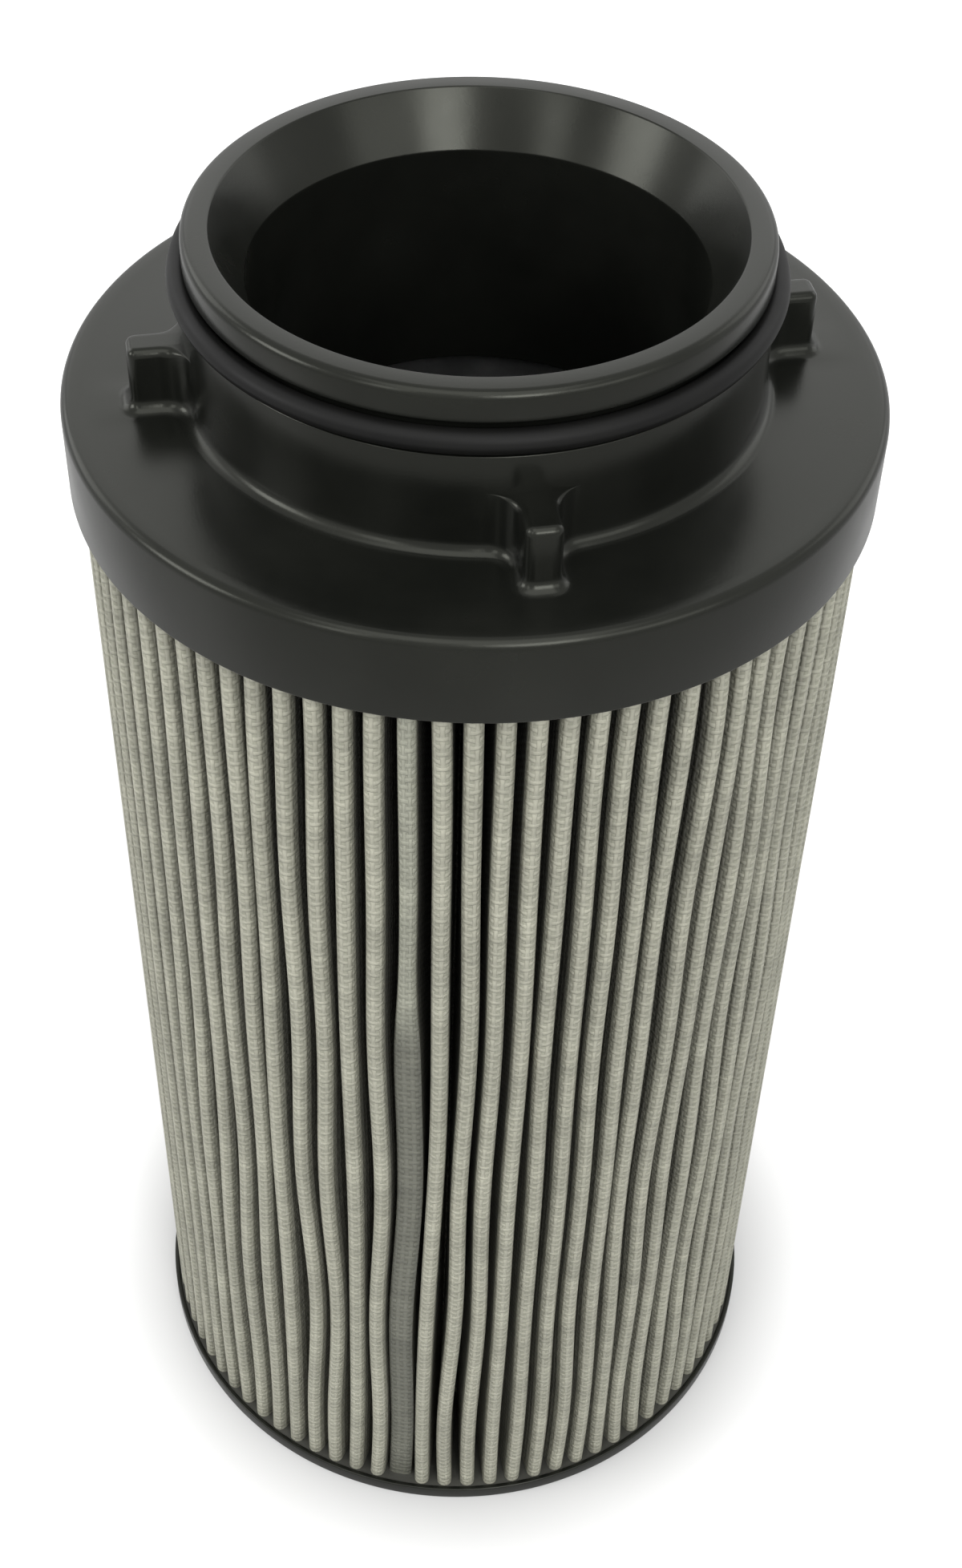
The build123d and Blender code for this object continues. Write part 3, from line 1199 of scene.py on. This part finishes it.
@dataclass
class Studio:
    """Pale floor, white surroundings, soft lamps and the camera.

    The floor's glow grows from floor_glow at near_reach to far_glow at far_reach. Round the foot, from
    shade_reach in to foot_reach, it falls to a share of foot_shade, which paints a soft shadow there. In
    mirrors it is mirrored_glow of what the camera sees.
    """

    lamps: list[SoftLamp]
    floor_size: float = 6.0
    floor_colour: Colour = (0.5, 0.5, 0.496)
    floor_roughness: float = 0.3
    floor_specular: float = 0.4
    floor_glow: float = 0.54
    far_glow: float = 0.95
    mirrored_glow: float = 0.25
    foot_reach: float = 60.0 * MM
    shade_reach: float = 73.0 * MM
    foot_shade: float = 0.45
    near_reach: float = 120.0 * MM
    far_reach: float = 700.0 * MM
    patch_tone: float = 0.985
    world_strength: float = 0.4
    camera_place: tuple[float, float, float] = (0.0, -0.27688, 0.41418)
    camera_drop: float = 0.7838
    camera_roll: float = 0.0239
    camera_lens: float = 52.3
    camera_sensor: float = 36.0
    camera_shift: float = 0.0095

    def build(self) -> None:
        """Makes the floor, the surroundings, the lamps and the camera."""
        self.build_floor()
        self.build_world()
        aim = (cad_low + cad_high) / 2
        for lamp in self.lamps:
            lamp.build(aim)
        self.build_camera()
        bpy.context.scene.view_settings.view_transform = "Standard"

    def build_floor(self) -> None:
        """Makes the floor, which glows to white for the camera but keeps the element's shadow, and has a
        painted shadow round its foot.
        """
        half = self.floor_size / 2
        ring = half * heading(np.arange(4) * TURN / 4 + TURN / 8) * math.sqrt(2)
        points = grid_points(ring, cad_low.z)
        mesh = bpy.data.meshes.new("floor")
        mesh.from_pydata(points.tolist(), [], [(0, 1, 2, 3)])
        floor = bpy.data.objects.new("floor", mesh)
        bpy.context.scene.collection.objects.link(floor)
        material, graph, shader, place = started_material("pale_floor")
        tone = graph.ranged(graph.noise(place, 3.0, 3.0), 0.3, 0.7, 0.0, 1.0)
        dimmer = tuple(self.patch_tone * part for part in self.floor_colour)
        colour = graph.blended(tone, rgba(self.floor_colour), rgba(dimmer))
        graph.feed(shader, Base_Color=colour, Roughness=self.floor_roughness)
        graph.feed(shader, Specular_IOR_Level=self.floor_specular)
        reach = graph.from_axis(place)
        open_glow = graph.ranged(reach, self.near_reach, self.far_reach, self.floor_glow, self.far_glow)
        # Painted shadow: the glow dims round the element's foot, as a soft contact shadow on the floor.
        shade = graph.ranged(reach, self.foot_reach, self.shade_reach, self.foot_shade, 1.0)
        glow_here = graph.maths("MULTIPLY", open_glow, shade)
        camera, mirrored = how_seen(graph)
        share = graph.maths("MULTIPLY_ADD", mirrored, self.mirrored_glow, camera)
        strength = graph.maths("MULTIPLY", share, glow_here)
        glow = graph.node("ShaderNodeEmission", Strength=strength)
        both = graph.node("ShaderNodeAddShader")
        graph.fill(both.inputs[0], shader.outputs[0])
        graph.fill(both.inputs[1], glow.outputs[0])
        output = next(n for n in graph.tree.nodes if n.bl_idname == "ShaderNodeOutputMaterial")
        graph.fill(output.inputs["Surface"], both.outputs[0])
        mesh.materials.append(material)

    def build_world(self) -> None:
        """Makes the surroundings: white where seen or mirrored, and a plain light elsewhere."""
        world = bpy.data.worlds.new("white_room")
        world.use_nodes = True
        world.node_tree.nodes.clear()
        graph = Graph(world.node_tree)
        seen = graph.maths("MAXIMUM", *how_seen(graph))
        strength = graph.ranged(seen, 0.0, 1.0, self.world_strength, 1.0)
        white = graph.node("ShaderNodeBackground", Color=(1.0, 1.0, 1.0, 1.0), Strength=strength)
        graph.node("ShaderNodeOutputWorld", Surface=white.outputs[0])
        bpy.context.scene.world = world

    def build_camera(self) -> None:
        """Makes the camera: it looks down by camera_drop and is rolled by camera_roll."""
        data = bpy.data.cameras.new("camera")
        data.lens = self.camera_lens
        data.sensor_width = self.camera_sensor
        data.shift_x = self.camera_shift
        camera = bpy.data.objects.new("camera", data)
        drop, roll = self.camera_drop, self.camera_roll
        right = Vector((1.0, 0.0, 0.0))
        up = Vector((0.0, math.sin(drop), math.cos(drop)))
        ahead = Vector((0.0, math.cos(drop), -math.sin(drop)))
        across = math.cos(roll) * right + math.sin(roll) * up
        above = math.cos(roll) * up - math.sin(roll) * right
        axes = Matrix((across, above, -ahead)).transposed().to_4x4()
        camera.matrix_world = Matrix.Translation(Vector(self.camera_place)) @ axes
        bpy.context.scene.collection.objects.link(camera)
        bpy.context.scene.camera = camera


# ---- The whole element ----
POLYAMIDE = CastFinish(
    name="black_moulded_polyamide",
    colour=(0.0055, 0.006, 0.005),
    second_colour=(0.0085, 0.009, 0.0075),
    smoothest=0.2,
    roughest=0.28,
    grain_scale=2400.0,
    grain_depth=0.012 * MM,
    specular=0.26,
    tint=(0.98, 1.0, 0.88),
)
NITRILE = CastFinish(
    name="smooth_nitrile",
    colour=(0.004, 0.004, 0.004),
    second_colour=(0.006, 0.006, 0.0055),
    smoothest=0.45,
    roughest=0.55,
    grain_scale=3000.0,
    grain_depth=0.01 * MM,
    specular=0.16,
)
ADHESIVE = CastFinish(
    name="grey_cast_adhesive",
    colour=(0.04, 0.04, 0.035),
    second_colour=(0.07, 0.07, 0.06),
    smoothest=0.35,
    roughest=0.6,
    grain_scale=700.0,
    grain_depth=0.1 * MM,
)
# The seam's wire carries painted shade: it darkens to 0.3 of its colour in from 57.8 mm, where the seam lies
# recessed below the crests.
SOAKED_WIRE = WireMeshFinish(
    name="adhesive_over_wire",
    wire=(0.36, 0.365, 0.295),
    opening=(0.3, 0.305, 0.245),
    wire_width=0.9 * MM,
    crest_radius=57.8 * MM,
    fade_depth=1.2 * MM,
    top_tone=0.3,
    foot_tone=0.3,
)
TINNED = SheetSteelFinish("tinned_sheet_steel", (0.46, 0.47, 0.47), (0.3, 0.3, 0.3))


def pack_plies() -> list[Ply]:
    """Lists the plies from the outside in.

    Returns:
        The plies.
    """
    # Both mesh finishes carry painted shade in the folds, the outer one down to 0.05 of its colour at the
    # top and 0.4 at the foot, and openings painted darker as shade under the wires.
    outer_mesh = WireMeshFinish(
        name="outer_woven_wire",
        wire=(0.45, 0.445, 0.36),
        opening=(0.37, 0.37, 0.295),
        wire_width=0.78 * MM,
        crest_radius=58.3 * MM,
        fade_depth=2.5 * MM,
        top_tone=0.05,
        foot_tone=0.4,
    )
    inner_mesh = WireMeshFinish(
        name="inner_woven_wire",
        wire=(0.42, 0.42, 0.38),
        opening=(0.3, 0.3, 0.27),
        wire_width=0.7 * MM,
        crest_radius=57.6 * MM,
        fade_depth=5.0 * MM,
        top_tone=0.5,
        foot_tone=0.5,
    )
    fleece = FibreFinish("spun_bond_fleece", (0.84, 0.84, 0.8), (0.68, 0.68, 0.64), 900.0)
    paper = FibreFinish("cream_glass_paper", (0.88, 0.87, 0.8), (0.76, 0.74, 0.66), 1600.0)
    return [
        Ply("outer_support_mesh", "outer_wire_ply", 0.30 * MM, Slot.MESH, outer_mesh, 8, 4),
        Ply("outer_fleece", "outer_fleece_ply", 0.15 * MM, Slot.FLEECE, fleece, 4, 2),
        Ply("filter_medium", "filter_paper_ply", 0.35 * MM, Slot.PAPER, paper, 4, 2),
        Ply("inner_fleece", "inner_fleece_ply", 0.15 * MM, Slot.FLEECE, fleece, 4, 2),
        Ply("inner_support_mesh", "inner_wire_ply", 0.25 * MM, Slot.MESH, inner_mesh, 4, 2),
    ]


def studio_lamps() -> list[SoftLamp]:
    """Lists the lamps: overhead, behind, one at each side, and four in front that the mouth mirrors.

    Returns:
        The lamps.
    """
    return [
        SoftLamp("overhead", 0.0, 68.0, 1.3, 1.1, 0.9, 5.8),
        SoftLamp("behind", 180.0, 36.0, 1.5, 1.8, 0.8, 4.0),
        SoftLamp("side_left", -122.0, 28.0, 1.5, 0.7, 0.8, 3.4),
        SoftLamp("side_right", 122.0, 28.0, 1.5, 0.7, 0.8, 2.2),
        SoftLamp("panel_far_left", -76.0, 27.0, 1.4, 0.5, 0.5, 5.6),
        SoftLamp("panel_left", -34.6, 35.0, 1.4, 0.26, 0.5, 1.6),
        SoftLamp("panel_right", 18.0, 36.0, 1.4, 0.42, 0.5, 6.2),
        SoftLamp("panel_far_right", 49.5, 32.0, 1.4, 0.6, 0.5, 1.8),
    ]


def main() -> None:
    Studio(studio_lamps()).build()
    TopCap(POLYAMIDE).build()
    SealRing(NITRILE).build()
    BottomCap(POLYAMIDE).build()
    PleatedPack(pack_plies(), SOAKED_WIRE).build()
    dress_node("centre_tube", TINNED.material())
    dress_node("top_potting", ADHESIVE.material())
    dress_node("bottom_potting", ADHESIVE.material())


if __name__ == "__main__":
    logging.basicConfig(level=logging.INFO, format="%(name)s %(message)s")
    main()
